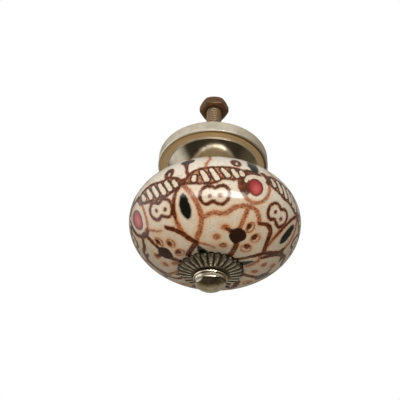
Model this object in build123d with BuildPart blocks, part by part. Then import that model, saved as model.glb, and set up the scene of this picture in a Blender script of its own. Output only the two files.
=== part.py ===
from build123d import *
import os
from math import pi, radians, sqrt, tan

os.makedirs("parts", exist_ok=True)

# A ceramic cabinet knob, in millimetres. Its axis lies along Y, as the knob stands on a drawer front: the collar's
# mounting face is at Y = 0, the bolt's tail points to +Y and the domed head looks towards -Y. +Z is up.

# Bolt's tail and nut, a coarse 4 mm pair
thread_diameter = 4.0
thread_clearance = 0.05  # radial room in the tapped bores of the collar and the nut
bolt_reach = 21.8  # mounting face to the end of the bolt
bolt_end_chamfer = 0.5
nut_standoff = 17.9  # bare thread between the mounting face and the nut
nut_thickness = 3.2
nut_across_flats = 7.0
nut_face_diameter = 6.0  # round flat that the corner chamfer leaves on each face
nut_chamfer_angle = 30.0
nut_mouth_chamfer = 0.25  # countersink at both ends of the nut's bore

# Turned collar
collar_diameter = 26.8
collar_height = 8.5  # mounting face to the ceramic
rim_width = 2.9  # mounting face to the front edge of the rim
rim_edge_radius = 0.25
lip_width = 0.4  # flat front edge of the rim
lip_step = 0.3  # from the lip back to the band
band_width = 2.1
cone_step = 0.4  # from the band forward to the foot of the cone
neck_diameter = 11.2
neck_length = 1.1  # straight part of the neck, under the ceramic
neck_fillet = 1.5  # where the cone turns into the neck

# Ceramic body: two half ellipsoids that meet at the equator
body_diameter = 38.0
body_front_depth = 12.5  # equator to the front pole
body_back_depth = 11.8  # equator to the back pole
body_offset = 0.65  # the hand-thrown body stands this far to +X of its own bore
body_bore = 5.0
face_diameter = 18.6  # flat front that the washer lies on
face_edge_radius = 7.5  # soft edge round the flat front
land_margin = 0.6  # ground flat left round the collar's neck, across the diameter

# Fluted washer
washer_diameter = 13.8  # over the petals' tips
washer_hub_diameter = 7.4
washer_hub_thickness = 1.7
washer_bore_clearance = 0.25
petal_count = 28
petal_wall = 0.3  # metal at the bottom of a flute
petal_rise_hub = 0.12  # ridge over flute where the petals leave the hub
petal_rise_rim = 0.45  # ridge over flute at the rim
petal_fall = 1.15  # the petals lean back this far from the hub to their tips
petal_tip_length = 0.5  # rounded end past the full width of a petal
petal_tip_share = 0.55  # of the petal's width and rise left at its tip
petal_clearance = 0.1  # petals' tips to the glaze

# Domed head of the bolt
shoulder_diameter = 5.4
shoulder_height = 0.3  # lifts the bead off the washer
bead_diameter = 7.2
bead_thickness = 0.55
bead_bulge = 0.2
groove_width = 0.2
groove_depth = 0.3
dome_diameter = 6.9
dome_height = 2.2

# Places along the axis, from the mounting face to the front
thread_radius = thread_diameter / 2
tapped_radius = thread_radius + thread_clearance
body_radius = body_diameter / 2
back_land_radius = (neck_diameter + land_margin) / 2
face_radius = face_diameter / 2


def height_share(radius):
    """Share of a half ellipsoid's depth at this distance from the body's axis."""
    return sqrt(1 - (radius / body_radius) ** 2)


body_back_y = -collar_height
equator_y = body_back_y - body_back_depth * height_share(back_land_radius)
body_front_y = equator_y - body_front_depth * height_share(face_radius)
hub_front_y = body_front_y - washer_hub_thickness
bead_back_y = hub_front_y - shoulder_height
bead_front_y = bead_back_y - bead_thickness
dome_base_y = bead_front_y - groove_width


def across(y):
    """A plane square to the knob's axis, facing the drawer."""
    return Plane(origin=(0, y, 0), x_dir=(1, 0, 0), z_dir=(0, 1, 0))


# Ceramic body with its flat face, its back land and its bore
body_middle = (body_offset, equator_y)
with BuildPart() as knob_body:
    with BuildSketch(Plane.XY) as body_profile:
        with BuildLine():
            EllipticalCenterArc(body_middle, body_radius, body_front_depth, start_angle=-90, arc_size=90)
            EllipticalCenterArc(body_middle, body_radius, body_back_depth, start_angle=0, arc_size=90)
            Line((body_offset, equator_y + body_back_depth), (body_offset, equator_y - body_front_depth))
        make_face()
        split(bisect_by=across(body_front_y), keep=Keep.TOP)
        split(bisect_by=across(body_back_y), keep=Keep.BOTTOM)
        face_corner = body_profile.vertices().sort_by_distance((body_offset + face_radius, body_front_y, 0))[0]
        fillet(face_corner, face_edge_radius)
    revolve(axis=Axis((body_offset, 0, 0), (0, 1, 0)))
    with Locations(Location(across(body_back_y))):
        Hole(body_bore / 2)
knob_body.part.label = "knob_body"
export_step(knob_body.part, "parts/knob_body.step")

# Turned collar: rim, lip, band and the cone that rises to the neck
collar_radius = collar_diameter / 2
band_radius = collar_radius - lip_width
cone_radius = band_radius - band_width
neck_radius = neck_diameter / 2
band_y = -rim_width + lip_step
cone_y = band_y - cone_step
neck_start_y = -collar_height + neck_length
with BuildPart() as base_collar:
    with BuildSketch(Plane.XY) as collar_profile:
        with BuildLine():
            Polyline(
                (neck_radius, neck_start_y),
                (neck_radius, -collar_height),
                (tapped_radius, -collar_height),
                (tapped_radius, 0),
                (collar_radius, 0),
                (collar_radius, -rim_width),
                (band_radius, -rim_width),
                (band_radius, band_y),
                (cone_radius, band_y),
                (cone_radius, cone_y),
                close=True,
            )
        make_face()
        neck_corner = collar_profile.vertices().sort_by_distance((neck_radius, neck_start_y, 0))[0]
        fillet(neck_corner, neck_fillet)
    revolve(axis=Axis.Y)
    rim_face = base_collar.faces().filter_by(GeomType.CYLINDER).sort_by(SortBy.RADIUS)[-1]
    fillet(rim_face.edges().filter_by(GeomType.CIRCLE), min(rim_edge_radius, lip_width / 2))
base_collar.part.label = "base_collar"
export_step(base_collar.part, "parts/base_collar.step")

# Petals lean back from the hub until their tips all but touch the glaze
petal_root = washer_hub_diameter / 2
petal_tip = washer_diameter / 2
petal_full = petal_tip - petal_tip_length
half_petal = tan(pi / petal_count)


def petal_section(radius, rise, share=1.0):
    """Section of a petal at this radius: flat below, arched above, with its sides on the flutes' mid planes."""
    section_plane = Plane(origin=(radius, 0, 0), x_dir=(0, 0, 1), z_dir=(1, 0, 0))
    half_width = radius * half_petal * share
    lean = petal_fall * (petal_tip - radius) / (petal_tip - petal_root)
    under = -body_front_y + petal_clearance + lean
    flute = under + petal_wall * share
    with BuildSketch(section_plane) as section:
        with BuildLine():
            Polyline((-half_width, flute), (-half_width, under), (half_width, under), (half_width, flute))
            ThreePointArc((half_width, flute), (0, flute + rise * share), (-half_width, flute))
        make_face()
    return section.sketch


with BuildPart() as petal:
    add(petal_section(petal_root, petal_rise_hub))
    add(petal_section(petal_full, petal_rise_rim))
    add(petal_section(petal_tip, petal_rise_rim, petal_tip_share))
    loft(ruled=True)

# Fluted washer: a flat hub with a ring of petals
hub_overlap = petal_wall  # the hub reaches this far out into the petals' roots
with BuildPart() as petal_washer:
    with BuildSketch(across(hub_front_y)):
        Circle(petal_root + hub_overlap)
    extrude(amount=-(hub_front_y - body_front_y))
    add([petal.part.rotate(Axis.Y, turn * 360 / petal_count) for turn in range(petal_count)])
    with Locations(Location(across(body_front_y))):
        Hole(thread_radius + washer_bore_clearance)
petal_washer.part.label = "petal_washer"
export_step(petal_washer.part, "parts/petal_washer.step")

# Bolt: dome, groove, bead ring, shoulder and the threaded shank, one turned piece
bead_radius = bead_diameter / 2
dome_radius = dome_diameter / 2
bead_edge = bead_radius - bead_bulge
shoulder_radius = shoulder_diameter / 2
dome_tip_y = dome_base_y - dome_height
with BuildPart() as through_bolt:
    with BuildSketch(Plane.XY):
        with BuildLine():
            EllipticalCenterArc((0, dome_base_y), dome_radius, dome_height, start_angle=-90, arc_size=90)
            Polyline(
                (dome_radius, dome_base_y),
                (dome_radius - groove_depth, dome_base_y),
                (dome_radius - groove_depth, bead_front_y),
                (bead_edge, bead_front_y),
            )
            ThreePointArc(
                (bead_edge, bead_front_y), (bead_radius, bead_back_y - bead_thickness / 2), (bead_edge, bead_back_y)
            )
            Polyline(
                (bead_edge, bead_back_y),
                (shoulder_radius, bead_back_y),
                (shoulder_radius, hub_front_y),
                (thread_radius, hub_front_y),
                (thread_radius, bolt_reach - bolt_end_chamfer),
                (thread_radius - bolt_end_chamfer, bolt_reach),
                (0, bolt_reach),
                (0, dome_tip_y),
            )
        make_face()
    revolve(axis=Axis.Y)
through_bolt.part.label = "through_bolt"
export_step(through_bolt.part, "parts/through_bolt.step")

# Nut: a hexagon with chamfered corners and a countersunk bore
nut_corner_radius = nut_across_flats / sqrt(3)
nut_face_radius = nut_face_diameter / 2
nut_chamfer = (nut_corner_radius - nut_face_radius) * tan(radians(nut_chamfer_angle))
nut_back_y = nut_standoff + nut_thickness
with BuildPart() as hex_nut:
    with BuildSketch(across(nut_standoff)):
        RegularPolygon(nut_across_flats / 2, 6, major_radius=False)
    extrude(amount=nut_thickness)
    with BuildSketch(Plane.XY):
        with BuildLine():
            Polyline(
                (0, nut_standoff),
                (nut_face_radius, nut_standoff),
                (nut_corner_radius, nut_standoff + nut_chamfer),
                (nut_corner_radius, nut_back_y - nut_chamfer),
                (nut_face_radius, nut_back_y),
                (0, nut_back_y),
                close=True,
            )
        make_face()
    revolve(axis=Axis.Y, mode=Mode.INTERSECT)
    with Locations(Location(across(nut_back_y))):
        Hole(tapped_radius)
    bore_face = hex_nut.faces().filter_by(GeomType.CYLINDER).sort_by(SortBy.RADIUS)[0]
    chamfer(bore_face.edges().filter_by(GeomType.CIRCLE), nut_mouth_chamfer)
hex_nut.part.label = "hex_nut"
export_step(hex_nut.part, "parts/hex_nut.step")
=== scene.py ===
"""The looks of a painted ceramic cabinet knob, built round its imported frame."""

import math

import bmesh
import bpy
import numpy as np
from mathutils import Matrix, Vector


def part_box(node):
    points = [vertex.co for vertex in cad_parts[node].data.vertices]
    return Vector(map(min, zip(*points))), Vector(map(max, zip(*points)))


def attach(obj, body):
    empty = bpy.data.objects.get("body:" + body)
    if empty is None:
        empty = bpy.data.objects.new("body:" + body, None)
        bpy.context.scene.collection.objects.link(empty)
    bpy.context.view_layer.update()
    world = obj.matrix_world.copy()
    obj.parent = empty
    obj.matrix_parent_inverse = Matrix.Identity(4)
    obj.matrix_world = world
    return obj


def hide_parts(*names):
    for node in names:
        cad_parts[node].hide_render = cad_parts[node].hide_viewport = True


bl_info = {
    "name": "Painted Cabinet Knob",
    "version": (1, 0, 0),
    "blender": (4, 5, 0),
    "location": "3D View > Sidebar > Knob",
    "description": "Dresses the frame of a cabinet knob in glaze, paint and metal",
    "category": "Add Mesh",
}

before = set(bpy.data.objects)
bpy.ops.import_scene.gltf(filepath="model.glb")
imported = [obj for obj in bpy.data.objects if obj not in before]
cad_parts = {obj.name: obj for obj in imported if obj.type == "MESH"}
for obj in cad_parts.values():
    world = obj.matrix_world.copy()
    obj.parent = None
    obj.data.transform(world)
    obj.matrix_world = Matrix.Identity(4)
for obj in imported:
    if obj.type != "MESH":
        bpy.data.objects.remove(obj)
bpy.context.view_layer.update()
MM = 0.001


# Sizes read from the frame, in millimetres
def node_box(node):
    """Lowest and highest corner of a CAD node, in millimetres."""
    low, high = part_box(node)
    return np.array(low) / MM, np.array(high) / MM


BODY_LOW, BODY_HIGH = node_box("knob_body")
COLLAR_LOW, COLLAR_HIGH = node_box("base_collar")
WASHER_LOW, WASHER_HIGH = node_box("petal_washer")
BOLT_END = node_box("through_bolt")[1][1]
NUT_LOW, NUT_HIGH = node_box("hex_nut")

# Ceramic body: two half ellipsoids, cut flat at the back and softly flat at the front
BODY_RADIUS = (BODY_HIGH[0] - BODY_LOW[0]) / 2
BODY_OFFSET = (BODY_HIGH[0] + BODY_LOW[0]) / 2
BODY_BACK, BODY_FRONT = BODY_HIGH[1], BODY_LOW[1]
BACK_DEPTH, FRONT_DEPTH, MEAN_DEPTH = 11.8, 12.5, 12.2
BACK_LAND, FRONT_LAND = 5.9, 4.7  # radii where the glaze ends
FACE_EDGE = 0.24  # softness of the edge round the flat front
BODY_BORE = 2.5
EQUATOR = BODY_BACK - BACK_DEPTH * math.sqrt(1 - (BACK_LAND / BODY_RADIUS) ** 2)

# Turned collar, from its rim to the neck under the ceramic
COLLAR_RADIUS, COLLAR_FRONT = COLLAR_HIGH[0], COLLAR_LOW[1]
BAND_RADIUS, CONE_RADIUS, NECK_RADIUS = 13.0, 10.9, 5.6
RIM_Y, BAND_Y, CONE_Y, NECK_Y = -2.9, -2.6, -3.0, COLLAR_FRONT + 1.38

# Washer, bolt and nut
HUB_FRONT = WASHER_LOW[1]
HUB_RADIUS, HUB_BORE = 4.0, 2.25
THREAD_RADIUS, TAPPED_RADIUS = 2.0, 2.05
DOME_RADIUS, GROOVE_RADIUS, SHOULDER_RADIUS = 3.45, 3.15, 2.7


def tone(*swatch):
    """A linear colour from the 8-bit values of a swatch."""
    return tuple(((c / 255 + 0.055) / 1.055) ** 2.4 if c > 10 else c / 255 / 12.92 for c in swatch)


# Settings that a user would change
def colour(name, description, swatch):
    return bpy.props.FloatVectorProperty(
        name=name, description=description, default=tone(*swatch), subtype="COLOR", size=3, min=0, max=1
    )


def number(name, description, default, **kind):
    return bpy.props.FloatProperty(name=name, description=description, default=default, **kind)


def share(name, description, default):
    return number(name, description, default, min=0, max=1, subtype="FACTOR")


def length(name, description, default_mm):
    return number(name, description, default_mm * MM, unit="LENGTH", precision=5)


def degrees(name, description, default):
    return number(name, description, math.radians(default), subtype="ANGLE")


class GlazeSettings(bpy.types.PropertyGroup):
    """Colours and gloss of the painted glaze."""

    ground: colour("Ground", "Cream ground under the paint", (230, 212, 184))
    # Shoulder: partly the glaze's own paler colour, partly painted light on the back of the body
    shoulder: colour("Shoulder", "Paler ground towards the back", (235, 226, 212))
    # Tan of the unglazed foot, and painted shade where the back faces the collar
    clay_and_shade: colour("Clay", "Tan of the back round the collar's neck", (199, 174, 134))
    speck: colour("Speck", "Fine specks in the ground", (184, 158, 122))
    bleed: colour("Bleed", "Peach stain beside the painted lines", (228, 180, 136))
    rust: colour("Rust", "Thin orange brown line", (186, 100, 47))
    umber: colour("Umber", "Dark brown line", (72, 33, 12))
    rope: colour("Rope", "Brown between the cells of the rope", (158, 94, 66))
    bark: colour("Bark", "Heavy brown of the flower centres", (52, 28, 18))
    black: colour("Black", "Green black of the leaves", (22, 21, 14))
    crimson: colour("Crimson", "Red of the oval stones", (150, 44, 42))
    rose: colour("Rose", "Light in the red stones", (204, 92, 90))
    gloss: share("Gloss roughness", "Roughness of the glaze", 0.07)


class MetalSettings(bpy.types.PropertyGroup):
    """Colours and polish of the metal parts."""

    steel: colour("Steel", "Polished steel of the collar's cone", (212, 205, 189))
    tarnish: colour("Tarnish", "Yellow grey bloom on the plating", (178, 158, 122))
    gold: colour("Gold", "Warm plating of the collar's band", (242, 212, 162))
    brown: colour("Browned steel", "Nut and the bolt's tail", (112, 90, 64))
    russet: colour("Russet", "Reddish patches on the browned steel", (116, 78, 48))
    antique: colour("Antique", "Dull film on the washer", (104, 90, 64))
    worn: colour("Worn", "Metal rubbed bright on ridges and edges", (246, 241, 228))
    # Real dirt in the tool rings, the bolt's groove and on the nut, and painted shade under the collar's lip
    # and on the step to the cone
    grime_and_shade: colour("Grime", "Dirt in grooves and hollows", (42, 38, 28))
    satin: share("Satin roughness", "Roughness of the turned faces", 0.34)
    polish: share("Polish roughness", "Roughness of the cone and the dome", 0.07)


class ThreadSettings(bpy.types.PropertyGroup):
    """Thread of the bolt's tail and flutes of the washer."""

    pitch: length("Pitch", "Rise of the thread in one turn", 0.7)
    depth: length("Depth", "Crest to root of the thread", 0.3)
    petals: bpy.props.IntProperty(name="Petals", description="Flutes round the washer", default=28, min=3)
    rise: length("Petal rise", "Height of a petal's arch at the rim", 0.45)


class StageSettings(bpy.types.PropertyGroup):
    """Camera, lamps and floor."""

    azimuth: degrees("Azimuth", "Camera's turn round the knob", 1.9)
    elevation: degrees("Elevation", "Camera's height over the horizon", 51.8)
    distance: length("Distance", "Camera to the point that it looks at", 112.8)
    lens: number("Lens", "Focal length", 43.344, unit="CAMERA")
    floor_drop: length("Floor drop", "Axis of the knob to the floor", 220.0)
    ambient: number("Ambient", "Light from all round", 0.22, min=0)
    overhead: number("Overhead", "Power of the soft box above", 3.5, min=0, unit="POWER")
    window: number("Window", "Power of the long box over the front", 3.6, min=0, unit="POWER")


# Node trees written as expressions
def arithmetic(operation, swapped=False):
    """A method that adds a Math node for a value and another value or number."""

    def method(self, other):
        return self.tree.maths(operation, *((other, self) if swapped else (self, other)))

    return method


class Value:
    """An output socket with arithmetic: an expression on values adds its Math nodes."""

    def __init__(self, tree, socket):
        self.tree = tree
        self.socket = socket

    def other(self, output):
        """Another output of the same node."""
        return Value(self.tree, self.socket.node.outputs[output])

    __add__ = __radd__ = arithmetic("ADD")
    __sub__ = arithmetic("SUBTRACT")
    __rsub__ = arithmetic("SUBTRACT", swapped=True)
    __mul__ = __rmul__ = arithmetic("MULTIPLY")
    __truediv__ = arithmetic("DIVIDE")
    __pow__ = arithmetic("POWER")


class Tree:
    """A node tree whose nodes all come from node()."""

    def __init__(self, tree):
        self.tree = tree

    def node(self, kind, inputs=(), settings=None, out=0):
        """Adds a node: its settings are set first, then its sockets get values or links."""
        made = self.tree.nodes.new(kind)
        for key, setting in (settings or {}).items():
            setattr(made, key, setting)
        for key, value in inputs.items() if isinstance(inputs, dict) else enumerate(inputs):
            socket = made.inputs[key]
            if isinstance(value, Value):
                self.tree.links.new(value.socket, socket)
            elif socket.type == "RGBA":
                socket.default_value = (*value[:3], 1)
            else:
                socket.default_value = value
        return Value(self, made.outputs[out]) if made.outputs else None

    def maths(self, operation, *values):
        return self.node("ShaderNodeMath", values, {"operation": operation})

    def vector(self, operation, *values):
        return self.node("ShaderNodeVectorMath", values, {"operation": operation})

    def split(self, vector):
        x = self.node("ShaderNodeSeparateXYZ", [vector])
        return x, x.other(1), x.other(2)

    def join(self, x, y, z):
        return self.node("ShaderNodeCombineXYZ", [x, y, z])

    def smooth(self, value, low, high):
        """0 below low, 1 above high and an even curve between them."""
        return self.node("ShaderNodeMapRange", [value, low, high], {"interpolation_type": "SMOOTHSTEP"})

    def fade(self, value, low, high):
        """1 below low, 0 above high and an even curve between them."""
        return 1.0 - self.smooth(value, low, high)

    def mix(self, factor, first, second):
        """A colour between two others."""
        return self.node("ShaderNodeMix", {0: factor, 6: first, 7: second}, {"data_type": "RGBA"}, out=2)

    def layers(self, colour, *coats):
        """A colour under coats of (cover, colour), laid on in order."""
        for cover, coat in coats:
            colour = self.mix(cover, colour, coat)
        return colour

    def noise(self, vector, scale, detail=2.0, roughness=0.5, distortion=0.0):
        inputs = {"Vector": vector, "Scale": scale, "Detail": detail, "Roughness": roughness}
        return self.node("ShaderNodeTexNoise", {**inputs, "Distortion": distortion})

    def attribute(self, name):
        return self.node("ShaderNodeAttribute", settings={"attribute_name": name}, out=2)


class Finish(Tree):
    """A material: its tree, its object coordinates in millimetres, and its shader."""

    def __init__(self, name):
        self.material = bpy.data.materials.new(name)
        self.material.use_nodes = True
        super().__init__(self.material.node_tree)
        self.tree.nodes.clear()
        metres = self.node("ShaderNodeTexCoord", out=3)
        self.spot = self.vector("MULTIPLY", metres, (1000, 1000, 1000))
        self.x, self.y, self.z = self.split(self.spot)

    def radius(self):
        """Distance from the knob's axis."""
        return (self.x * self.x + self.z * self.z) ** 0.5

    def bump(self, height, strength, depth_mm):
        inputs = {"Strength": strength, "Distance": depth_mm * MM, "Height": height}
        return self.node("ShaderNodeBump", inputs)

    def surface(self, **sockets):
        """Ends the tree in a Principled shader."""
        inputs = {key.replace("_", " ").title(): value for key, value in sockets.items()}
        shader = self.node("ShaderNodeBsdfPrincipled", inputs)
        self.node("ShaderNodeOutputMaterial", [shader])
        return self.material


class Growth(Tree):
    """A Geometry Nodes tree with named inputs, run once to give a plain mesh."""

    def __init__(self, name, inputs):
        super().__init__(bpy.data.node_groups.new(name, "GeometryNodeTree"))
        self.values = {}
        kinds = {float: "NodeSocketFloat", int: "NodeSocketInt", bpy.types.Material: "NodeSocketMaterial"}
        for key, value in inputs.items():
            socket = self.tree.interface.new_socket(key, in_out="INPUT", socket_type=kinds[type(value)])
            self.values[socket.identifier] = value
        self.tree.interface.new_socket("Mesh", in_out="OUTPUT", socket_type="NodeSocketGeometry")
        entry = self.node("NodeGroupInput")
        self.inputs = {key: entry.other(key) for key in inputs}

    def grid(self, across, along):
        """A sheet of quads, with its two coordinates from 0 to 1."""
        sheet = self.node("GeometryNodeMeshGrid", {"Vertices X": across, "Vertices Y": along})
        u, v, _ = self.split(self.node("GeometryNodeInputPosition"))
        return sheet, u + 0.5, v + 0.5

    def wrap(self, sheet, x, y, z):
        """The sheet with its points moved and its seams welded."""
        where = {"Geometry": sheet, "Position": self.join(x, y, z)}
        moved = self.node("GeometryNodeSetPosition", where)
        return self.node("GeometryNodeMergeByDistance", {"Geometry": moved, "Distance": 1e-6})

    def mesh(self, made):
        """Ends the tree and gives its result as a plain mesh."""
        real = self.node("GeometryNodeRealizeInstances", {"Geometry": made})
        inputs = {"Geometry": real, "Material": self.inputs["Material"]}
        self.node("NodeGroupOutput", [self.node("GeometryNodeSetMaterial", inputs)])
        carrier = bpy.data.objects.new(self.tree.name, bpy.data.meshes.new(self.tree.name))
        bpy.context.scene.collection.objects.link(carrier)
        modifier = carrier.modifiers.new(self.tree.name, "NODES")
        modifier.node_group = self.tree
        for identifier, value in self.values.items():
            modifier[identifier] = value
        graph = bpy.context.evaluated_depsgraph_get()
        result = bpy.data.meshes.new_from_object(carrier.evaluated_get(graph))
        bpy.data.objects.remove(carrier)
        return result


# Meshes
def ring_rows(profile, around):
    """Rows of points round the knob's axis from pairs (radius, y). A radius may vary round its row."""
    turn = np.arange(around) * 2 * np.pi / around
    rows = [np.broadcast_arrays(r * np.sin(turn), y, r * np.cos(turn)) for r, y in profile]
    return np.stack(rows).transpose(0, 2, 1)


def skin(rows, loop=False):
    """A mesh from closed rows of points in millimetres. With loop set, the last row joins the first."""
    count, around = rows.shape[:2]
    index = np.arange(count * around).reshape(count, around)
    if loop:
        index = np.vstack([index, index[:1]])
    low, high = index[:-1], index[1:]
    quads = np.stack([low, np.roll(low, -1, 1), np.roll(high, -1, 1), high], axis=2).reshape(-1, 4)
    mesh = bpy.data.meshes.new("skin")
    mesh.from_pydata((rows.reshape(-1, 3) * MM).tolist(), [], quads.tolist())
    return mesh


def soften(corners, steps=5):
    """A profile with each corner (radius, y, rounding) drawn as a short curve, for a closed outline."""
    points = np.array([c[:2] for c in corners], float)
    path = []
    for i, (_, _, rounding) in enumerate(corners):
        here, before, after = points[i], points[i - 1], points[(i + 1) % len(points)]
        if rounding == 0:
            path.append(here)
            continue
        start = here + (before - here) / np.linalg.norm(before - here) * rounding
        end = here + (after - here) / np.linalg.norm(after - here) * rounding
        for s in np.linspace(0, 1, steps):
            path.append((1 - s) ** 2 * start + 2 * s * (1 - s) * here + s**2 * end)
    return np.array(path)


def arc(centre, half_width, half_height, start, end, steps):
    """Points on an ellipse between two angles in degrees."""
    turn = np.radians(np.linspace(start, end, steps))
    return np.column_stack([centre[0] + half_width * np.cos(turn), centre[1] + half_height * np.sin(turn)])


def combine(*meshes):
    """One mesh from several, with doubles merged and faces pointing outwards."""
    bm = bmesh.new()
    for mesh in meshes:
        bm.from_mesh(mesh)
    bmesh.ops.remove_doubles(bm, verts=bm.verts, dist=1e-7)
    bmesh.ops.recalc_face_normals(bm, faces=bm.faces)
    made = bpy.data.meshes.new("combined")
    bm.to_mesh(made)
    bm.free()
    return made


def place(name, mesh, material, body, node):
    """Puts a finished mesh in the scene, on its body and in place of its CAD node."""
    mesh.name = name
    mesh.materials.clear()
    mesh.materials.append(material)
    mesh.shade_smooth()
    piece = bpy.data.objects.new(name, mesh)
    bpy.context.scene.collection.objects.link(piece)
    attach(piece, body)
    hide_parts(node)


# Ornament on the glaze
# Angles run from the top towards +X and latitudes from the equator to the front, in degrees.
INKS = ("rope", "rust", "umber", "bark", "black", "cream", "crimson", "rose")
LEAVES = (-21.0, 65.0, 157.0, 249.0, 339.0)
# Angle, latitude and size of each red stone
GEMS = ((24.5, 10.5, 1.0), (114.0, 14.0, 1.1), (206.0, 12.0, 1.05), (296.0, 19.5, 1.25))
# Angle, latitude and spread of each flower
FLOWERS = ((21.7, 51.5, 1.0), (111.2, 53.5, 1.45), (203.2, 51.5, 1.0), (294.4, 54.8, 1.0))
FAR = 3.0  # millimetres, for a point that no ink is near
BELT_DEGREE = 0.213  # millimetres in a degree of latitude near the equator
MARGIN = 9.0  # degrees round a stroke in which its distance is measured


def on_body(angle, latitude):
    """A point of the glaze, in millimetres. A soft edge leads from the half ellipsoid to the flat front."""
    angle, latitude = np.radians(angle), np.radians(latitude)
    depth = np.where(latitude > 0, FRONT_DEPTH, BACK_DEPTH)
    r = BODY_RADIUS * np.cos(latitude)
    over = EQUATOR - depth * np.sin(latitude) - BODY_FRONT
    y = BODY_FRONT + (over + np.hypot(over, FACE_EDGE)) / 2
    return np.stack([BODY_OFFSET + r * np.sin(angle), y, r * np.cos(angle)], axis=-1)


def flowing(points, steps=6):
    """A smooth line through points, with every column blended alike."""
    p = np.asarray(points, float)
    if len(p) < 3:
        return p[0] + (p[-1] - p[0]) * np.linspace(0, 1, 2 * steps)[:, None]
    closed = np.allclose(p[0, :2], p[-1, :2])
    ends = (p[-2], p[1]) if closed else (2 * p[0] - p[1], 2 * p[-1] - p[-2])
    p = np.vstack([ends[0], p, ends[1]])
    line = []
    for a, b, c, d in zip(p, p[1:], p[2:], p[3:]):
        s = np.linspace(0, 1, steps, endpoint=False)[:, None]
        square, cube = 2 * a - 5 * b + 4 * c - d, 3 * b - a - 3 * c + d
        line.append(0.5 * (2 * b + (c - a) * s + square * s**2 + cube * s**3))
    return np.vstack([*line, p[-2]])


class Ornament:
    """Brush strokes of several inks, and how far each point of the glaze is from them."""

    def __init__(self):
        self.strokes = {ink: [] for ink in INKS}
        self.ovals = {ink: [] for ink in INKS}

    def stroke(self, ink, points, width, at=(0.0, 0.0)):
        """A line through points counted from a place. Width is half the line's in mm, one or one each."""
        widths = np.broadcast_to(width, len(points))
        line = flowing(np.column_stack([np.add(points, at), widths]))
        line[:, 2] = np.maximum(line[:, 2], 0.02)
        self.strokes[ink].append(line)

    def oval(self, ink, centre, half, at=(0.0, 0.0)):
        self.ovals[ink].append((*np.add(centre, at), *half))

    def distance(self, ink, angle, latitude):
        """Millimetres from each point of the glaze to the ink, below zero inside it."""
        spots = on_body(angle, latitude)
        found = np.full(angle.shape, FAR)
        for line in self.strokes[ink]:
            low, high = line.min(0), line.max(0)
            apart = np.abs((angle - (low[0] + high[0]) / 2 + 180) % 360 - 180)
            reach = (high[0] - low[0]) / 2 + MARGIN / max(0.2, np.cos(np.radians(high[1])))
            near = (apart < reach) & (latitude > low[1] - MARGIN) & (latitude < high[1] + MARGIN)
            path, width = on_body(line[:, 0], line[:, 1]), line[:, 2]
            start, step = path[:-1], np.diff(path, axis=0)
            out = spots[near][:, None] - start
            along = np.einsum("vsk,sk->vs", out, step) / np.maximum((step**2).sum(1), 1e-9)
            along = np.clip(along, 0, 1)
            away = np.linalg.norm(out - along[..., None] * step, axis=2)
            gap = away - (width[:-1] + along * np.diff(width))
            found[near] = np.minimum(found[near], gap.min(1))
        for a, t, half_a, half_t in self.ovals[ink]:
            across, lean = (angle - a + 180) % 360 - 180, np.radians(t)
            mm_across = half_a * np.radians(BODY_RADIUS * np.cos(lean))
            mm_along = half_t * np.radians(np.hypot(BODY_RADIUS * np.sin(lean), MEAN_DEPTH * np.cos(lean)))
            gap = (np.hypot(across / half_a, (latitude - t) / half_t) - 1) * min(mm_across, mm_along)
            found = np.minimum(found, gap)
        return found


def sector_angle(k, s):
    """Angle of a place in sector k: s = 0 is its leaf, s = 45 its stone and s = 90 the next leaf."""
    return np.interp(s, (0, 45, 90), (LEAVES[k], GEMS[k][0], LEAVES[k + 1]))


def in_sector(k, points, hang=0.0):
    """Sector places as angles and latitudes. Hang lowers them in the middle of the sector, with its gem."""
    return [(sector_angle(k, s), t + hang * min(1, s / 12, (90 - s) / 12)) for s, t in points]


def paint_rope(art, k):
    """Two rope swags, one rising from the leaf to the stone and one falling to the next leaf."""
    hang = GEMS[k][1] - GEMS[0][1]
    rise_top = [(0, 11), (1, 9), (3.5, 6), (5.5, 3), (7.5, 0.5), (10, -1.2), (14, -2.5), (18, -3)]
    rise_top += [(24, -3.6), (29, -4.2), (33, -3.5), (36.5, -2), (38.5, 0.5)]
    rise_low = [(0, 11.5), (5, 12), (10, 13.2), (15, 14), (19, 13.4), (22, 11.5), (24, 9.4), (28, 8.8)]
    rise_low += [(32, 8.5), (36, 6)]
    fall_top = [(52, -3), (56.5, -7), (61, -9), (66, -9.5), (70, -8), (74, -6.8), (78, -6.5), (81, -5)]
    fall_top += [(85, -0.5), (88.5, 5)]
    fall_low = [(54, 3), (60, 5.2), (64, 7), (69, 8.5), (75, 8.6), (80, 10), (84.5, 11.3), (88, 11)]
    fall_low += [(90, 11.5)]
    cells = [((8, 6.5), (7.5, 9)), ((12.2, 1.6), (15, 10)), ((17.6, 0), (21, 9)), ((24, -0.8), (27, 5.4))]
    cells += [((30, -1.2), (32.4, 4.6)), ((35, -0.4), (35.8, 2)), ((57.5, -3.9), (59.4, 1.2))]
    cells += [((63, -5.7), (66, 3.4)), ((68.4, -5.2), (71.4, 4.6)), ((73.9, -4), (77, 5.2))]
    cells += [((79, -3.2), (81.7, 6.6)), ((84.4, 2.6), (86, 7.6))]
    for top, low in ((rise_top, rise_low), (fall_top, fall_low)):
        s = np.linspace(max(top[0][0], low[0][0]) + 1, min(top[-1][0], low[-1][0]), 14)
        upper, lower = np.interp(s, *np.transpose(top)), np.interp(s, *np.transpose(low))
        middle = in_sector(k, np.column_stack([s, (upper + lower) / 2]), hang)
        art.stroke("rope", middle, (lower - upper) / 2 * BELT_DEGREE)
        for edge in (top, low):
            art.stroke("umber", in_sector(k, edge, hang), 0.25)
    for cell in cells:
        art.stroke("cream", in_sector(k, cell, hang), (0.36, 0.5))
    art.oval("umber", (LEAVES[k] + 0.5, 9.5), (2.4, 3.0))
    art.stroke("umber", in_sector(k, [(49, -6), (52, -5), (55, 0), (53, 3)], hang), (0.3, 0.6, 0.6, 0.3))


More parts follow.
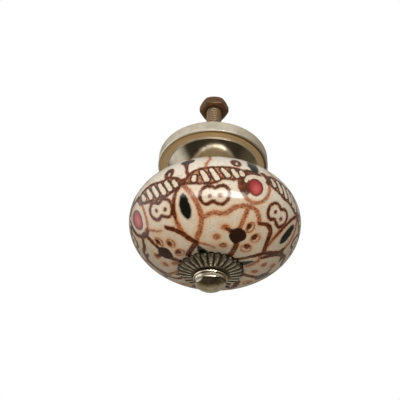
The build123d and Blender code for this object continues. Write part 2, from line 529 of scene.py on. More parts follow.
def paint_gem(art, k):
    """A red oval stone in a cream ring, with a brown setting that thins to rust."""
    *at, size = GEMS[k]
    tall = 1 + (size - 1) * 0.6
    top = [(2.5, -13.5), (-1.5, -14), (-5.5, -12.5), (-8.8, -9)]
    setting = [(-9.4, -8), (-10, -5), (-10.2, 0), (-9.4, 6), (-7.3, 10), (-4.3, 13), (-0.3, 14.3), (4, 12.6)]
    setting += [(7.2, 8.5), (9, 2.5), (9.2, -3.5), (8, -9)]
    ring = [(-6.9, -2.5), (-6, -6), (-3.5, -9), (0, -9.8), (3.5, -8.5), (5.8, -4.5), (6.5, 0.5), (5.8, 5.5)]
    ring += [(3.5, 8.8), (0, 10), (-3.5, 9.3)]
    setting = np.multiply(setting, tall)
    art.stroke("umber", np.multiply(top, tall), (0.25, 0.45, 0.7, 0.75), at)
    art.stroke("umber", setting[:5], (0.7, 0.7, 0.6, 0.45, 0.3), at)
    art.stroke("rust", setting[3:], 0.38, at)
    if k % 2 == 0:
        art.oval("umber", (-6.2, 3.0), (3.5, 7.2), at)
    else:
        art.stroke("umber", setting[3:8], 0.36, at)
    art.stroke("cream", np.multiply(ring, (size, tall)), 0.3, at)
    art.oval("crimson", (-0.4, 0.8), (5.2 * size, 8.2 * tall), at)
    art.oval("rose", (0.2, 2.4), (2.6 * size, 4.4 * tall), at)


def paint_leaf(art, k):
    """An upright almond with a black heart, and the lines that cross under it."""
    at, even = (LEAVES[k], 0.0), k % 2 == 0
    left = [(-1.5, 13), (-4, 17), (-6.5, 23), (-8.3, 29), (-9.5, 36), (-9.7, 42), (-8.5, 48)]
    right = [(1, 13), (3, 17), (5.5, 22), (8, 28), (9.7, 34), (10.3, 40)]
    if even:
        left += [(-6, 53), (-1.5, 58)]
        right += [(9.5, 45), (7, 50), (3, 54), (0.5, 58)]
    left_width = (0.3, 0.36, 0.44, 0.5, 0.52, 0.5, 0.46, 0.44, 0.42)
    heart = [(0.3, 20.8), (0, 24), (-0.2, 29), (0, 34), (0.4, 37.6)]
    art.stroke("rust", left, left_width[: len(left)], at)
    art.stroke("umber", left[:6], (0.28, 0.3, 0.32, 0.28, 0.22, 0.05), at)
    art.stroke("black", heart, (0.15, 0.72, 1.0, 1.0, 0.6), at)
    art.stroke("rust", right, 0.52 if even else 0.45, at)
    if even:
        dash = [(-21, 40.5), (-15, 44.5), (-10, 49), (-5, 54), (0, 58)]
        art.stroke("umber", dash, (0.34, 0.5, 0.5, 0.5, 0.5), at)
        art.stroke("umber", [(0, 57.5), (-4, 60), (-10, 62.5), (-17, 65), (-24, 67)], 0.5, at)
        art.stroke("rust", [(1, 58), (9, 60), (15, 62), (21, 64.5)], (0.35, 0.25, 0.25, 0.3), at)
        art.stroke("black", [(0, 60), (0.5, 64), (1.5, 69)], (0.04, 0.5, 0.95), at)
    else:
        crossing = [(10.5, 39), (9.5, 43.5), (4, 48.5), (-4, 54.7), (-9.5, 61), (-13.5, 67.7), (-20, 72.5)]
        art.stroke("umber", crossing, (0.4, 0.42, 0.45, 0.45, 0.4, 0.4, 0.4), at)
        art.stroke("umber", [(10, 41), (16, 41), (20, 41.5), (25.5, 42.5)], (0.4, 0.34, 0.3, 0.26), at)
        art.stroke("rust", [(-3, 56.7), (3, 59), (6.5, 62.3), (12, 68.3)], (0.3, 0.42, 0.42, 0.42), at)
        art.stroke("black", [(2, 62.6), (1.5, 66.5), (1.5, 70)], (0.04, 0.5, 0.7), at)


def paint_button(art, at, tilt):
    """A figure of eight with two dots. Tilt lowers its right side."""
    eight = [(0.2, -5.8), (2.5, -7.4), (5.2, -7.8), (7.8, -5.4), (8.9, -1), (8.2, 3.6), (5.4, 6.8), (2, 6.6)]
    eight += [(-1.5, 4.8), (-4, 6.4), (-6.8, 6.2), (-9, 3.2), (-9.4, -1), (-8, -5), (-5.2, -7.4)]
    eight += [(-2.4, -7.2), eight[0]]
    art.stroke("umber", [(a, t + 0.35 * tilt * a) for a, t in eight], 0.3, at)
    art.oval("umber", (-3.4, 0.1 - tilt * 3.4), (1.1, 1.4), at)
    art.oval("umber", (3.4, 0.1 + tilt * 3.4), (1.4, 1.5), at)


def paint_flower(art, k):
    """A dark flower centre with its stem, ringed dots and a scalloped outline."""
    *at, spread = FLOWERS[k]
    even = k % 2 == 0
    art.oval("bark", (0, 0), (8.4, 5.9), at)
    art.stroke("umber", [(-7, -2), (-12, -4)], (0.4, 0.3), at)
    stem = [(0.5, 3.5), (3.3, 7), (5, 12), (7.3, 19)] if even else [(0, 3.5), (-1.5, 7), (-3, 12), (-4, 19)]
    art.stroke("umber", stem, (0.55, 0.55, 0.5, 0.6), at)
    turn = np.radians(np.arange(9) * 45)
    circle = np.column_stack([np.cos(turn), np.sin(turn)])
    for dot, half, ring_shift in (
        ((6.3, -9), (1.9, 2.3), (1.2, 0.6)),
        ((16, -3.3), (2.5, 2.0), (1.5, 0.6)),
        ((15.5, 5.5), (4.0, 1.8), (0.5, 1.2)),
    ):
        art.oval("umber", dot, half, at)
        art.stroke("rust", np.add(dot, ring_shift) + np.multiply(1.6, half) * circle, 0.2, at)
    for (a, t), half in (((-13, -4.5), (4.0, 2.4)), ((-20, 3), (4.2, 2.5)), ((-11.5, 9.5), (5.2, 2.5))):
        art.oval("rust", (a * spread, t), half, at)
    if even:
        art.stroke("rust", [(-0.7, -4.5), (-0.5, -12), (0.3, -21.5)], 0.48, at)
        arch = [(10.5, 41), (15, 38.5), (19, 36.8), (24, 37.3), (28, 36.8), (31, 34), (34, 31.3), (38, 29.5)]
        arch += [(43, 28.7), (47, 29.2), (50.5, 31), (53.2, 34), (55, 36.5), (56.5, 38)]
        fall = [(56.5, 38), (59.3, 37.5), (62.5, 36.3), (66, 36.5), (69, 37.8), (71.6, 40), (74.2, 43.6)]
        fall += [(77.2, 47.6), (80.5, 50.3), (84.5, 53)]
        art.stroke("rust", in_sector(k, arch), 0.48)
        art.stroke("umber", in_sector(k, fall), (0.3, 0.36, 0.4, 0.42, 0.42, *[0.45] * 5))
    else:
        art.stroke("umber", [(1.2, -20), (0.6, -12), (0.3, -4)], (0.5, 0.45, 0.5), at)
        rise = [(45, 31), (41.2, 33), (35.4, 36), (29.7, 38.5), (23, 38), (16, 41), (9, 47), (2, 56)]
        fall = [(45, 31), (49.2, 33), (54.4, 37), (58.6, 40), (62.8, 41)]
        art.stroke("umber", in_sector(k, rise), 0.42)
        art.stroke("rust", in_sector(k, fall), (0.4, 0.35, 0.3, 0.25, 0.1))


def paint_back(art, k):
    """Leaves, berries and seed pods on the shoulder behind the rope."""
    hang = (GEMS[k][1] - GEMS[0][1]) * 0.6
    blade = [(2, -36), (0, -26), (-1.2, -19), (-1.5, -13), (-1, -8), (-0.5, -4.5)]
    art.stroke("black", blade, (0.1, 0.8, 1.0, 1.1, 0.8, 0.15), (GEMS[k][0], hang))
    leaf = (LEAVES[k], 0.0)
    art.oval("bark", (2.5, -17), (4.6, 5.6), leaf)
    art.stroke("umber", [(2.4, -13), (2.8, -6), (3.6, 1), (4.6, 4.5)], (0.6, 0.3, 0.26, 0.26), leaf)
    art.stroke("umber", [(2.5, -22), (1.5, -30), (3, -40)], (0.5, 0.3, 0.2), leaf)
    for pod in in_sector(k, [(32.5, -13.5), (81, -8.5)], hang):
        art.oval("umber", (0, 0), (3.3, 6.8), pod)
        art.stroke("cream", [(0.4, 0.5), (0.1, 3.0)], 0.2, pod)
    tendril = [(17.5, -42), (16, -30), (16.5, -18), (15, -10), (14.2, -3)]
    art.stroke("rust", in_sector(k, tendril), (0.15, 0.3, 0.3, 0.34, 0.3))
    art.stroke("rust", in_sector(k, [(60, -11), (57, -18), (59, -30)]), (0.3, 0.26, 0.15))
    art.stroke("umber", in_sector(k, [(70, -33), (66, -27), (69, -20), (72, -27), (70, -33)]), 0.3)


def paint_ornament():
    """The whole ornament: four sectors round the body."""
    art = Ornament()
    for k in range(len(GEMS)):
        for paint in (paint_back, paint_rope, paint_leaf, paint_flower, paint_gem):
            paint(art, k)
        paint_button(art, (sector_angle(k, 20), 23.6), -0.15)
        second = (sector_angle(k, 71 if k == 3 else 69), 25.2 if k == 0 else 26.8)
        paint_button(art, second, 0.28)
    return art


# Finishes
def glaze_finish(setting):
    """Speckled cream glaze with grainy painted lines under a clear gloss."""
    f = Finish("painted_glaze")
    fine = f.noise(f.spot, 5.5, 3.0, 0.65)
    sand = f.noise(f.spot, 2.7, 2.0, 0.65)
    cloud = f.noise(f.spot, 0.22)
    wobble = f.noise(f.spot, 0.9, 1.0)
    grain = f.noise(f.spot, 3.6, 1.0)
    ragged = (fine - 0.5) * 0.4 + (sand - 0.5) * 0.55 + (wobble - 0.5) * 0.25
    rope, rust, umber, bark, black, cream, crimson, rose = (f.attribute(ink) for ink in INKS)

    def cover(distance, soft, rough=1.0):
        """1 inside an ink, with a ragged edge."""
        return f.fade(distance + ragged * rough, -soft, soft)

    # Specks in the ground, and a peach stain beside the lines that fades towards the back
    specks = f.smooth(fine, 0.48, 0.68) * 0.5 + f.smooth(sand, 0.48, 0.66) * 0.4
    specks = specks + f.smooth(cloud, 0.4, 0.75) * 0.15
    stain = f.fade(f.maths("MINIMUM", rust, umber + 0.4) + ragged, 0.0, 1.0)
    stain = stain * (0.8 - 0.45 * f.smooth(f.y, EQUATOR - 9.5, EQUATOR - 3.0))

    # Each ink has grains or streaks of a second colour
    woven = cover(rope, 0.12)
    twine = f.layers(
        setting.rope,
        (f.smooth(sand, 0.46, 0.66) * 0.8, setting.umber),
        (f.smooth(grain, 0.48, 0.6) * 0.55, setting.bleed),
    )
    grainy_rust = f.mix(f.smooth(grain, 0.44, 0.57), setting.rust, tone(112, 52, 28))
    inner = 0.0 - umber + (sand - 0.5) * 0.5
    streak = f.smooth(inner, 0.16, 0.32) * (1.0 - f.smooth(inner, 0.45, 0.75) * 0.8)
    streak = streak * f.smooth(wobble, 0.42, 0.62) * 0.6 + f.smooth(sand, 0.5, 0.64) * 0.4
    thick_umber = f.mix(streak, setting.umber, tone(140, 72, 39))
    cell = f.mix(specks, tone(231, 214, 190), setting.speck)
    stone = f.mix(f.fade(rose, -0.9, 0.7), setting.crimson, setting.rose)

    paint = f.layers(
        setting.ground,
        # Paler towards the back: partly the glaze, partly painted light
        (f.smooth(f.y, EQUATOR - 10.0, EQUATOR + 2.0), setting.shoulder),
        # Tan towards the collar: the unglazed foot, and painted shade in the gap before the collar
        (f.smooth(f.y + (cloud - 0.5) * 2.4, EQUATOR + 6.2, EQUATOR + 8.6), setting.clay_and_shade),
        (specks, setting.speck),
        (stain, setting.bleed),
        (woven, twine),
        (cover(rust, 0.2, 1.25) * (0.55 + 0.45 * f.smooth(fine, 0.38, 0.54)), grainy_rust),
        (cover(umber - 0.13, 0.14, 1.3) * 0.65, tone(166, 89, 48)),
        (cover(umber, 0.13), thick_umber),
        (f.fade(cream + ragged * 0.8, 0.3, 0.42) * woven, setting.umber),
        (cover(bark, 0.16), setting.bark),
        (cover(black - 0.1, 0.35) * 0.7, tone(70, 62, 48)),
        (cover(black, 0.2), setting.black),
        (cover(cream, 0.12, 0.7), cell),
        (cover(crimson, 0.1, 0.5), tone(108, 34, 30)),
        (cover(crimson + 0.32, 0.26, 0.5), stone),
    )
    ripple = f.noise(f.spot, 0.35) + fine * 0.08
    return f.surface(
        base_color=paint,
        roughness=setting.gloss + 0.06 * sand,
        normal=f.bump(ripple, 0.18, 0.25),
        coat_weight=0.25,
    )


def collar_finish(setting):
    """Turned plated steel: satin rim and band with fine tool rings, and a polished cone, with painted shade
    on the +X side, under the lip and on the step to the cone.
    """
    f = Finish("collar_steel")
    r = f.radius()
    inside = f.fade(r, CONE_RADIUS + 0.03, CONE_RADIUS + 0.1)
    cone = inside * f.fade(f.y, RIM_Y, RIM_Y + 0.15)
    satin = 1.0 - cone
    band = (1.0 - inside) * f.fade(r, BAND_RADIUS - 0.05, BAND_RADIUS + 0.05)
    band = band * f.fade(f.y, BAND_Y + 0.15, BAND_Y + 0.3)
    lip = f.smooth(r, BAND_RADIUS - 0.02, BAND_RADIUS + 0.06) * f.fade(f.y, RIM_Y + 0.06, RIM_Y + 0.2)
    # Painted shadow of the lip on the band
    lip_shadow = f.smooth(r + f.z * 0.03 + f.x * 0.02, BAND_RADIUS - 0.26, BAND_RADIUS - 0.08) * band
    # Painted shade on the step down from the band to the cone
    cone_step_shade = f.smooth(r, CONE_RADIUS - 0.06, CONE_RADIUS - 0.02)
    cone_step_shade = cone_step_shade * f.fade(r, CONE_RADIUS + 0.1, CONE_RADIUS + 0.2)
    cone_step_shade = cone_step_shade * f.fade(f.y, BAND_Y + 0.1, BAND_Y + 0.3)
    rings = f.noise(f.join(r, f.y, 0.0), 9.0, 3.0, 0.7)
    bloom = f.noise(f.spot, 0.35, 3.0, 0.6)
    scratch = f.noise(f.vector("MULTIPLY", f.spot, (0.25, 6.0, 0.25)), 1.6, 3.0, 0.7)
    metal = f.layers(
        setting.steel,
        (satin, tone(234, 226, 208)),
        (f.smooth(bloom, 0.38, 0.7) * 0.5, setting.tarnish),
        (f.smooth(rings, 0.48, 0.66) * satin * 0.22, setting.tarnish),
        # Darker towards +X: painted shade on the side the lamps leave dimmer
        (f.smooth(f.x, 4.0, 13.0) * satin * 0.45, tone(150, 128, 98)),
        (band * 0.9, setting.gold),
        (f.smooth(rings, 0.48, 0.7) * band * 0.3, setting.grime_and_shade),
        (f.fade(r, CONE_RADIUS + 0.15, CONE_RADIUS + 0.4) * band * 0.5, setting.worn),
        # Painted shade under the lip and on the step to the cone
        (lip_shadow * 0.8 + cone_step_shade * 0.25, setting.grime_and_shade),
        (f.smooth(scratch, 0.42, 0.66) * satin * (1.0 - band) * 0.35, setting.tarnish),
        (lip, setting.worn),
    )
    roughness = setting.satin + (scratch - 0.5) * 0.16 + (bloom - 0.5) * 0.1 + (rings - 0.5) * 0.3
    roughness = roughness * satin + (setting.polish + bloom * 0.06) * cone
    return f.surface(
        base_color=metal,
        metallic=0.5 + 0.5 * cone + 0.45 * lip,
        roughness=roughness - lip * 0.2,
        normal=f.bump(rings * (1.0 - cone * 0.9), 0.35, 0.05),
    )


def bolt_finish(setting):
    """Polished plated head with a darkened groove, and a browned thread with painted highlights on its
    crests.
    """
    f = Finish("plated_bolt")
    r = f.radius()
    tail = f.smooth(f.y, -12.0, -10.0)
    patch = f.noise(f.spot, 0.8, 3.0, 0.6)
    speck = f.noise(f.spot, 6.0, 2.0, 0.7)
    groove = f.smooth(r, GROOVE_RADIUS - 0.05, GROOVE_RADIUS + 0.05)
    groove = groove * f.fade(r, DOME_RADIUS - 0.11, DOME_RADIUS - 0.03) * (1.0 - tail)
    plated = f.layers(
        tone(240, 232, 212),
        (f.smooth(patch, 0.42, 0.62) * 0.6, setting.tarnish),
        (groove * 0.7, setting.grime_and_shade),
    )
    browned = f.layers(
        setting.brown,
        (f.smooth(patch, 0.4, 0.7), setting.russet),
        # Lighter thread crests: painted highlight
        (f.smooth(r, THREAD_RADIUS - 0.2, THREAD_RADIUS) * 0.85, tone(184, 162, 130)),
    )
    roughness = setting.polish * (1.0 - tail) + (0.42 + 0.2 * patch) * tail
    return f.surface(
        base_color=f.mix(tail, plated, browned),
        metallic=1.0 - 0.4 * tail,
        roughness=roughness + 0.05 * speck,
        normal=f.bump(speck, 0.12, 0.02),
    )


def washer_finish(setting):
    """Antique stamped metal: dark in the flutes, with painted shade at the petals' ends, and rubbed bright
    along the ridges.
    """
    f = Finish("antique_washer")
    hub = f.fade(f.radius(), HUB_RADIUS - 0.1, HUB_RADIUS + 0.1)
    ridge = f.maths("MAXIMUM", f.attribute("ridge"), hub * 0.75)
    pitting = f.noise(f.spot, 2.6, 3.0, 0.7)
    cloud = f.noise(f.spot, 0.5)
    rubbed = f.smooth(ridge + (pitting - 0.5) * 0.3 + (cloud - 0.5) * 0.4, 0.88, 0.97)
    # Dark antique film in the flutes; at the petals' ends the darkening is painted shade
    flute_film_and_tip_shade = f.fade(ridge + (pitting - 0.5) * 0.4, 0.3, 0.8)
    return f.surface(
        base_color=f.layers(setting.antique, (rubbed, setting.worn), (flute_film_and_tip_shade * 0.9, tone(40, 33, 20))),
        metallic=0.55 + 0.4 * rubbed,
        roughness=0.38 - 0.16 * rubbed + 0.12 * (pitting - 0.5),
        normal=f.bump(pitting, 0.35, 0.05),
    )


def nut_finish(setting):
    """Browned steel with reddish patches and fine dirt."""
    f = Finish("browned_nut")
    patch = f.noise(f.spot, 0.55, 3.0, 0.6, 0.6)
    fine = f.noise(f.spot, 4.0, 3.0, 0.7)
    metal = f.layers(
        setting.brown,
        (f.smooth(patch, 0.42, 0.62), setting.russet),
        (f.smooth(fine, 0.55, 0.8) * 0.35, setting.grime_and_shade),
    )
    return f.surface(
        base_color=metal, metallic=0.55, roughness=0.36 + 0.22 * fine, normal=f.bump(fine, 0.3, 0.04)
    )


# Pieces
class KNOB_OT_body(bpy.types.Operator):
    """Build the glazed body and paint its ornament"""

    bl_idname = "knob.body"
    bl_label = "Painted Body"

    def execute(self, context):
        around, along = 600, 150
        angles = np.arange(around) * 360 / around
        front = math.degrees(math.acos(FRONT_LAND / BODY_RADIUS))
        back = -math.degrees(math.acos(BACK_LAND / BODY_RADIUS))
        angle, latitude = np.meshgrid(angles, np.linspace(front, back, along))
        bore = ring_rows([(BODY_BORE, BODY_BACK), (BODY_BORE, BODY_FRONT)], around)
        mesh = skin(np.vstack([on_body(angle, latitude), bore]), loop=True)
        art = paint_ornament()
        for ink in INKS:
            values = np.full((along + len(bore), around), FAR, np.float32)
            values[:along] = art.distance(ink, angle, latitude)
            mesh.attributes.new(ink, "FLOAT", "POINT").data.foreach_set("value", values.ravel())
        place("painted_body", mesh, glaze_finish(context.scene.knob_glaze), "knob", "knob_body")
        return {"FINISHED"}


class KNOB_OT_collar(bpy.types.Operator):
    """Build the turned collar"""

    bl_idname = "knob.collar"
    bl_label = "Turned Collar"

    def execute(self, context):
        # Radius, place along the axis and rounding of each corner
        corners = [(TAPPED_RADIUS, 0, 0), (COLLAR_RADIUS, 0, 0.25), (COLLAR_RADIUS, RIM_Y, 0.3)]
        corners += [(BAND_RADIUS, RIM_Y, 0.08), (BAND_RADIUS, BAND_Y, 0.08), (CONE_RADIUS, BAND_Y, 0.08)]
        corners += [(CONE_RADIUS, CONE_Y, 0.06), (NECK_RADIUS, NECK_Y, 0.71)]
        corners += [(NECK_RADIUS, COLLAR_FRONT, 0.1), (TAPPED_RADIUS, COLLAR_FRONT, 0)]
        mesh = combine(skin(ring_rows(soften(corners, 9), 256), loop=True))
        material = collar_finish(context.scene.knob_metal)
        place("turned_collar", mesh, material, "knob", "base_collar")
        return {"FINISHED"}


class KNOB_OT_washer(bpy.types.Operator):
    """Build the fluted washer"""

    bl_idname = "knob.washer"
    bl_label = "Fluted Washer"

    def execute(self, context):
        setting = context.scene.knob_thread
        material = washer_finish(context.scene.knob_metal)
        inputs = {"Petals": setting.petals, "Rise": setting.rise / MM, "Material": material}
        tree = Growth("Fluted petals", inputs)
        root, tip, clearance, fall, wall = 3.7, WASHER_HIGH[0], 0.1, 1.15, 0.3
        sheet, u, v = tree.grid(33, 22)
        turn = u * (2 * math.pi)
        side = tree.maths("COSINE", turn)
        lift = tree.maths("MAXIMUM", tree.maths("SINE", turn), 0.0)
        r = root + v * (tip - root)
        end = tree.smooth(v, 0.86, 1.0)
        start = tree.fade(v, 0.0, 0.14)
        half = r * math.tan(math.pi / setting.petals) * (1.0 - end**2 * 0.55) * (1.0 - start**2 * 0.3)
        rise = (0.25 + 0.75 * tree.smooth(v, 0.0, 0.8)) * (1.0 - end**2 * 0.5) * (1.0 - start * 0.6)
        under = (clearance - BODY_FRONT) + fall * (1.0 - v)
        top = under + tree.maths("SIGN", lift) * wall * (1.0 - end**2 * 0.4)
        top = top + lift**1.8 * rise * tree.inputs["Rise"]
        # The ridge falls away at the petals' ends, so the finish paints shade there
        ridge = lift * (1.0 - start * 0.5) * (1.0 - end * 0.75)
        store = {"Geometry": sheet, "Name": "ridge", "Value": ridge}
        sheet = tree.node("GeometryNodeStoreNamedAttribute", store)
        petal = tree.wrap(sheet, r * MM, top * -MM, side * half * -MM)
        line = tree.node("GeometryNodeMeshLine", {"Count": tree.inputs["Petals"], "Offset": (0, 0, 0)})
        index = tree.node("GeometryNodeInputIndex")
        facing = tree.join(0.0, index * (2 * math.pi / setting.petals), 0.0)
        ring = {"Points": line, "Instance": petal, "Rotation": facing}
        crown = tree.node("GeometryNodeInstanceOnPoints", ring)
        petals = tree.mesh(crown)
        hub_corners = [(HUB_BORE, BODY_FRONT, 0), (HUB_RADIUS, BODY_FRONT, 0.1)]
        hub_corners += [(HUB_RADIUS, HUB_FRONT, 0.2), (HUB_BORE, HUB_FRONT, 0)]
        hub = skin(ring_rows(soften(hub_corners), 112), loop=True)
        place("fluted_washer", combine(petals, hub), material, "knob", "petal_washer")
        return {"FINISHED"}


class KNOB_OT_bolt(bpy.types.Operator):
    """Build the bolt with its domed head and its thread"""

    bl_idname = "knob.bolt"
    bl_label = "Domed Bolt"

    def execute(self, context):
        setting = context.scene.knob_thread
        material = bolt_finish(context.scene.knob_metal)
        inputs = {"Pitch": setting.pitch / MM, "Depth": setting.depth / MM, "Material": material}
        tree = Growth("Bolt thread", inputs)
        start, end, chamfer = -3.0, BOLT_END, 0.5
        sheet, u, v = tree.grid(49, 460)
        turn = u * (2 * math.pi)
        raw = start + v * (end + THREAD_RADIUS - start)
        along = tree.maths("MINIMUM", raw, end)
        phase = tree.maths("FRACT", along / tree.inputs["Pitch"] - u + 20.0)
        valley = tree.smooth(tree.maths("ABSOLUTE", phase - 0.5) * 2.0, 0.12, 0.88)
        shank = THREAD_RADIUS - tree.inputs["Depth"] * (1.0 - valley)
        bevel = THREAD_RADIUS - chamfer * tree.smooth(along, end - chamfer, end)
        cap = 1.0 - tree.maths("MAXIMUM", raw - end, 0.0) / THREAD_RADIUS
        radius = tree.maths("MINIMUM", shank, bevel) * tree.maths("MAXIMUM", cap, 0.0)
        radius = radius * tree.maths("SIGN", v) * MM
        x, z = radius * tree.maths("SINE", turn), radius * tree.maths("COSINE", turn)
        thread = tree.mesh(tree.wrap(sheet, x, along * MM, z))

        # Head: dome, groove, bead and shoulder, down to the plain shank
        bead_back, bead_front, dome_base = HUB_FRONT - 0.3, HUB_FRONT - 0.85, HUB_FRONT - 1.05
        bead_core, bead_bulge, dome_height = 3.4, 0.2, 2.2
        half_bead = (bead_back - bead_front) / 2
        dome = arc((0, dome_base), DOME_RADIUS, dome_height, -90, -1.5, 40)
        bead = arc((bead_core, bead_front + half_bead), bead_bulge, half_bead, -90, 90, 9)
        profile = [*dome, (DOME_RADIUS, dome_base + 0.01), (DOME_RADIUS - 0.05, dome_base + 0.03)]
        profile += [(GROOVE_RADIUS, dome_base + 0.04), (GROOVE_RADIUS, bead_front - 0.04)]
        profile += [(bead_core - 0.1, bead_front - 0.02), *bead, (bead_core - 0.2, bead_back)]
        profile += [(SHOULDER_RADIUS + 0.1, bead_back), (SHOULDER_RADIUS, bead_back + 0.1)]
        profile += [(SHOULDER_RADIUS, HUB_FRONT), (THREAD_RADIUS, HUB_FRONT)]
        profile += [(THREAD_RADIUS, start + 0.2), (0, start + 0.2)]
        head = skin(ring_rows(profile, 128))
        place("domed_bolt", combine(head, thread), material, "knob", "through_bolt")
        return {"FINISHED"}


class KNOB_OT_nut(bpy.types.Operator):
    """Build the nut with rounded corners and a countersunk bore"""

    bl_idname = "knob.nut"
    bl_label = "Hex Nut"

    def execute(self, context):
        around = 192
        turn = np.arange(around) * 2 * np.pi / around
        flat, sixth = NUT_HIGH[2], np.pi / 3
        hexagon = flat / np.cos((turn + sixth / 2) % sixth - sixth / 2)
        hexagon = hexagon - 0.7 * np.maximum(hexagon - flat * 1.12, 0)
        front, back = NUT_LOW[1], NUT_HIGH[1]
        face, mouth, inner = 3.0, 2.3, 2.6  # radii of the flat face, the countersink and a ring between them
        slope, back_slope, soft = math.tan(math.radians(30)), 1.35, 0.22
        levels = np.concatenate([np.linspace(0, 0.5, 8), np.linspace(0.6, 2.6, 6), np.linspace(2.7, 3.2, 8)])
        rows = [(TAPPED_RADIUS, front + 0.25), (mouth, front), (inner, front), (face - 0.12, front)]
        for level in levels:
            to_back = back - front - level
            limit = min(face + (level + 0.02) / slope, face - 0.2 + (to_back + 0.02) * back_slope)
            blend = np.clip(0.5 + (limit - hexagon) / (2 * soft), 0, 1)
            rows.append((limit + (hexagon - limit) * blend - soft * blend * (1 - blend), front + level))
        rows += [(face - 0.3, back), (inner, back), (mouth, back), (TAPPED_RADIUS, back - 0.25)]
        mesh = combine(skin(ring_rows(rows, around), loop=True))
        material = nut_finish(context.scene.knob_metal)
        place("hex_nut_finish", mesh, material, "nut", "hex_nut")
        return {"FINISHED"}


# Stage
LOOK_AT = (-2.83, -12.0, -0.4)  # middle of the picture, in millimetres


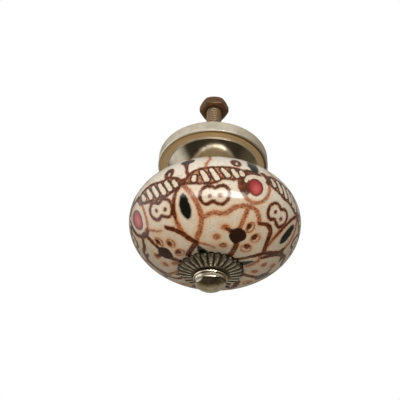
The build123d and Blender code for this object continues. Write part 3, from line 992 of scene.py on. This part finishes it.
class KNOB_OT_stage(bpy.types.Operator):
    """Set the camera, the lamps, the sky and the floor"""

    bl_idname = "knob.stage"
    bl_label = "Stage"

    def execute(self, context):
        scene, setting = context.scene, context.scene.knob_stage
        scene.view_settings.view_transform = "Standard"
        for step in (self.camera, self.lamps, self.sky, self.floor):
            step(scene, setting)
        return {"FINISHED"}

    def camera(self, scene, setting):
        a, e = setting.azimuth, setting.elevation
        toward = Vector((math.sin(a) * math.cos(e), -math.cos(a) * math.cos(e), math.sin(e)))
        data = bpy.data.cameras.new("camera")
        data.lens, data.sensor_width = setting.lens, 36
        data.clip_start, data.clip_end = 0.005, 20
        eye = bpy.data.objects.new("camera", data)
        eye.location = Vector(LOOK_AT) * MM + toward * setting.distance
        eye.rotation_euler = (-toward).to_track_quat("-Z", "Y").to_euler()
        scene.collection.objects.link(eye)
        scene.camera = eye

    def lamps(self, scene, setting):
        boxes = [("overhead", (-0.16, 0.12, 0.7), (0.8, 0.5), setting.overhead)]
        boxes += [("window", (-0.14, -0.315, 0.7), (1.0, 0.21), setting.window)]
        for name, spot, size, power in boxes:
            lamp = bpy.data.lights.new(name, "AREA")
            lamp.shape, lamp.size, lamp.size_y, lamp.energy = "RECTANGLE", *size, power
            holder = bpy.data.objects.new(name, lamp)
            holder.location = spot
            holder.visible_glossy = False
            scene.collection.objects.link(holder)

    def studio(self, tree, way):
        """What polished metal mirrors: long window, eave, ceiling, pale sweep behind, dim room and table."""
        x, y, z = tree.split(way)
        up = tree.maths("MAXIMUM", z, 0.02)
        lean, reach = y / up, x / up
        aside = tree.maths("ABSOLUTE", reach)
        above = tree.smooth(z, 0.02, 0.2)
        window = tree.smooth(lean, -0.63, -0.56) * tree.fade(lean, -0.42, -0.2) * above
        window = window * tree.fade(aside, 0.6, 0.85) * (3.5 + 11.0 * tree.smooth(reach, -0.4, 0.6))
        eave = tree.smooth(lean, -0.6, -0.5) * tree.fade(lean, -0.35, -0.1) * above * 1.5
        eave = eave * tree.fade(aside, 1.4, 2.3)
        ceiling = tree.smooth(lean, -0.4, -0.05) * above * 0.32
        behind = tree.smooth(y, 0.05, 0.5) * 0.3
        left = tree.smooth(0.0 - x, 0.7, 0.95) * 1.05
        right = tree.smooth(x, 0.72, 1.0) * 0.14
        level = tree.smooth(0.0 - z, 0.15, 0.8) * 0.23  # table
        for part in (window, eave, ceiling, behind, left, right):
            level = tree.maths("MAXIMUM", level, part)
        shade = tree.mix(tree.smooth(level, 0.05, 0.4), (1.0, 0.82, 0.56), (1.0, 0.975, 0.93))
        return tree.vector("MULTIPLY", shade, level + 0.047)

    def shown(self, tree, emitter, way, light):
        """White to the camera, the studio to polished metal and a plain light to the rest."""
        path = tree.node("ShaderNodeLightPath")
        mirrored = tree.maths("MAXIMUM", path.other("Is Glossy Ray"), path.other("Is Transmission Ray"))
        glow = self.studio(tree, tree.vector("NORMALIZE", way))
        mirror, white = (tree.node(emitter, [shade, 1.0]) for shade in (glow, (1, 1, 1)))
        mixed = tree.node("ShaderNodeMixShader", [mirrored, light, mirror])
        return tree.node("ShaderNodeMixShader", [path.other("Is Camera Ray"), mixed, white])

    def sky(self, scene, setting):
        """The studio all round, with an even light."""
        world = bpy.data.worlds.new("studio")
        scene.world = world
        world.use_nodes = True
        tree = Tree(world.node_tree)
        world.node_tree.nodes.clear()
        emitter, way = "ShaderNodeBackground", tree.node("ShaderNodeTexCoord")
        even = tree.node(emitter, [(1, 0.99, 0.97), setting.ambient])
        mixed = self.shown(tree, emitter, way, even)
        tree.node("ShaderNodeOutputWorld", [mixed])

    def floor(self, scene, setting):
        """A pale floor well under the knob, white to the camera, that throws light back up."""
        half = 3.0
        mesh = bpy.data.meshes.new("floor")
        corners = [(-half, -half), (half, -half), (half, half), (-half, half)]
        mesh.from_pydata([(*corner, -setting.floor_drop) for corner in corners], [], [(0, 1, 2, 3)])
        floor = bpy.data.objects.new("floor", mesh)
        scene.collection.objects.link(floor)
        f = Finish("pale_floor")
        pale = f.node("ShaderNodeBsdfDiffuse", [(0.4, 0.39, 0.37)])
        mixed = self.shown(f, "ShaderNodeEmission", f.spot, pale)
        f.node("ShaderNodeOutputMaterial", [mixed])
        mesh.materials.append(f.material)


# Panel and registration
class KNOB_PT_panel(bpy.types.Panel):
    """Lists the knob's steps and settings"""

    bl_label = "Painted Knob"
    bl_idname = "KNOB_PT_panel"
    bl_space_type = "VIEW_3D"
    bl_region_type = "UI"
    bl_category = "Knob"

    def draw(self, context):
        for step in STEPS:
            self.layout.operator(step.bl_idname)
        for name in SETTINGS:
            group = getattr(context.scene, name)
            box = self.layout.box()
            for key in group.bl_rna.properties.keys():
                if key not in ("rna_type", "name"):
                    box.prop(group, key)


STEPS = (KNOB_OT_stage, KNOB_OT_body, KNOB_OT_collar, KNOB_OT_washer, KNOB_OT_bolt, KNOB_OT_nut)
SETTINGS = {
    "knob_glaze": GlazeSettings,
    "knob_metal": MetalSettings,
    "knob_thread": ThreadSettings,
    "knob_stage": StageSettings,
}
CLASSES = (*SETTINGS.values(), *STEPS, KNOB_PT_panel)


def register():
    for kind in CLASSES:
        bpy.utils.register_class(kind)
    for name, group in SETTINGS.items():
        setattr(bpy.types.Scene, name, bpy.props.PointerProperty(type=group))


def unregister():
    for name in SETTINGS:
        delattr(bpy.types.Scene, name)
    for kind in reversed(CLASSES):
        bpy.utils.unregister_class(kind)


def main():
    register()
    bpy.ops.knob.stage()
    bpy.ops.knob.body()
    bpy.ops.knob.collar()
    bpy.ops.knob.washer()
    bpy.ops.knob.bolt()
    bpy.ops.knob.nut()


if __name__ == "__main__":
    main()
